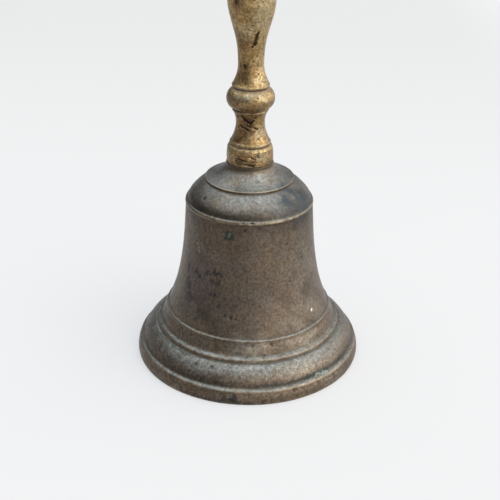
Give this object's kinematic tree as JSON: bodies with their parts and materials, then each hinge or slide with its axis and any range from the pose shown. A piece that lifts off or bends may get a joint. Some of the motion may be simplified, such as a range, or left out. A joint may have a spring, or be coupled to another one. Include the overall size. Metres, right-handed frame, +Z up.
{
  "type": "hand bell",
  "caption": "Cast bronze hand bell with a flared, moulded cup, a turned brass baluster handle and a ball clapper hanging on a wire link inside.",
  "frame": {"origin": "centre of the bell's mouth, in the plane of the lip it stands on", "axes": "+Z up along the bell's axis to the finial, +X to the right and -Y towards a person facing the bell; the clapper's main swing is along X"},
  "size_m": [0.0758, 0.0758, 0.152],
  "materials": {
    "cup_bronze": "cast, dark brown-grey patina, dull with worn brighter edges",
    "handle_brass": "turned, aged yellow brass, worn and speckled",
    "fastening_steel": "old mild steel, dull",
    "clapper_brass": "cast, dull brass",
    "clapper_wire": "dark iron wire, lightly rusted"
  },
  "bodies": {
    "bell": {"bell_cup": "cup_bronze", "handle_collar": "handle_brass", "handle_spool": "handle_brass", "handle_knop": "handle_brass", "handle_grip": "handle_brass", "handle_finial": "handle_brass", "tie_rod": "fastening_steel", "crown_washer": "fastening_steel", "crown_nut": "fastening_steel", "clapper_hanger": "clapper_brass"},
    "link": {"clapper_link": "clapper_wire"},
    "clapper": {"clapper_rod": "clapper_wire", "clapper_ball": "clapper_brass", "clapper_rivet_washer": "clapper_brass"}
  },
  "joints": [
    {"name": "link_swing", "type": "hinge", "parent": "bell", "child": "link", "pos_m": [0, 0, 0.0424], "axis": [1, 0, 0], "range_deg": [-14, 14]},
    {"name": "clapper_swing", "type": "hinge", "parent": "link", "child": "clapper", "pos_m": [0, 0, 0.03626], "axis": [0, 1, 0], "range_deg": [-38, 38]}
  ]
}
